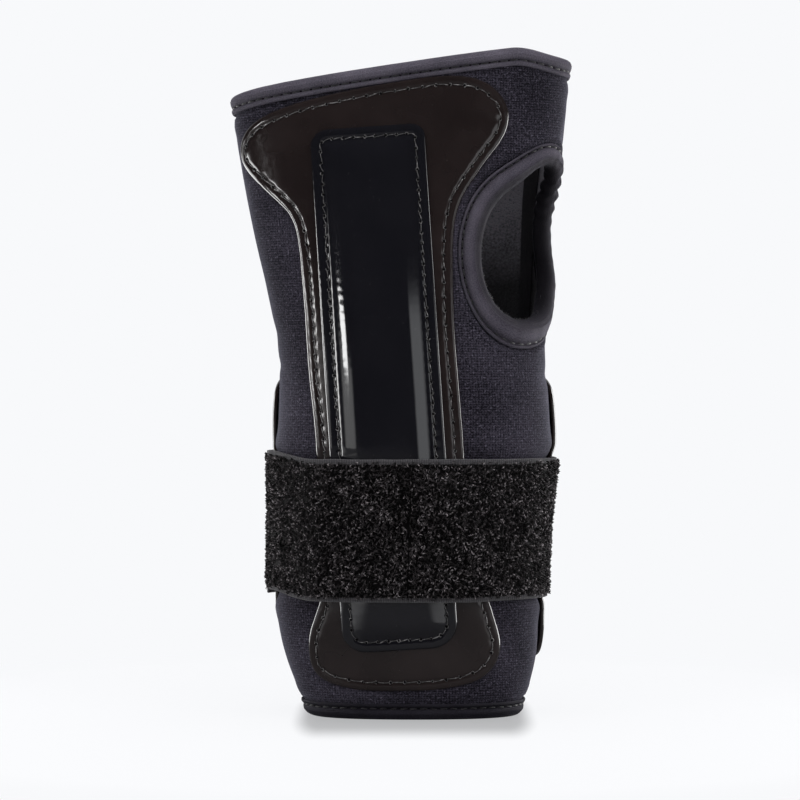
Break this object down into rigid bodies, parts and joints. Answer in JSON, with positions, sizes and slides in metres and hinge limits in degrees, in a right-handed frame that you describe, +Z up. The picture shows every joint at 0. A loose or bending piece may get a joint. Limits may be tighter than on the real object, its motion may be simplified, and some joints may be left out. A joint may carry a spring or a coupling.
{
  "type": "wrist guard",
  "caption": "Neoprene wrist guard sleeve with a thumb opening, glossy patches over stiff splints, and a wide hook-and-loop elastic strap that unwraps.",
  "frame": {"origin": "on the floor plane under the middle of the whole guard, at the forearm opening", "axes": "+Z up towards the finger opening, -Y the back of the hand, +X the thumb side"},
  "size_m": [0.1191, 0.0689, 0.2277],
  "materials": {
    "neoprene": "fine knit face, matte",
    "binding_tape": "smooth stretch tape",
    "gloss_vinyl": "glossy coated sheet",
    "gloss_cover": "high gloss coated sheet",
    "splint_plastic": "moulded",
    "thread": "twisted sewing thread",
    "loop_pile": "brushed loop pile on elastic",
    "hook_tape": "moulded hooks"
  },
  "bodies": {
    "guard": {"sleeve_dorsal_panel": "neoprene", "sleeve_palm_panel": "neoprene", "ulnar_seam_tape": "binding_tape", "thumb_side_seam_tape": "binding_tape", "finger_opening_binding": "binding_tape", "forearm_opening_binding": "binding_tape", "thumb_opening_binding": "binding_tape", "finger_binding_thread": "thread", "forearm_binding_thread": "thread", "thumb_binding_thread": "thread", "dorsal_patch": "gloss_vinyl", "dorsal_patch_thread": "thread", "dorsal_splint": "splint_plastic", "dorsal_splint_cover": "gloss_cover", "dorsal_cover_thread": "thread", "palm_patch": "gloss_vinyl", "palm_patch_thread": "thread", "palm_splint": "splint_plastic", "palm_splint_cover": "gloss_cover", "palm_cover_thread": "thread", "strap_sewn_end": "loop_pile", "sewn_end_thread": "thread"},
    "strap_dorsal": {"strap_dorsal_length": "loop_pile"},
    "strap_thumb": {"strap_thumb_length": "loop_pile"},
    "strap_palm": {"strap_palm_length": "loop_pile"},
    "tab": {"strap_tab": "loop_pile", "hook_patch": "hook_tape", "hook_patch_thread": "thread"}
  },
  "joints": [
    {"name": "strap_dorsal_hinge", "type": "hinge", "parent": "guard", "child": "strap_dorsal", "pos_m": [-0.04733, -0.00332, 0.0645], "axis": [-0.0122, 0.0145, -0.9998], "range_deg": [0, 38.25]},
    {"name": "strap_thumb_hinge", "type": "hinge", "parent": "strap_dorsal", "child": "strap_thumb", "pos_m": [0.04628, -0.01666, 0.0645], "axis": [-0.067, 0.0232, -0.9975], "range_deg": [0, 85]},
    {"name": "strap_palm_hinge", "type": "hinge", "parent": "strap_thumb", "child": "strap_palm", "pos_m": [0.04602, 0.02009, 0.0645], "axis": [-0.0669, 0.0007, -0.9978], "range_deg": [0, 85]},
    {"name": "strap_tab_hinge", "type": "hinge", "parent": "strap_palm", "child": "tab", "pos_m": [-0.01189, 0.0332, 0.0645], "axis": [-0.0296, -0.0106, -0.9995], "range_deg": [0, 100]}
  ],
  "couplings": [
    {"joint": "strap_dorsal_hinge", "follows": "strap_thumb_hinge", "ratio": 0.45},
    {"joint": "strap_palm_hinge", "follows": "strap_thumb_hinge", "ratio": 1}
  ]
}
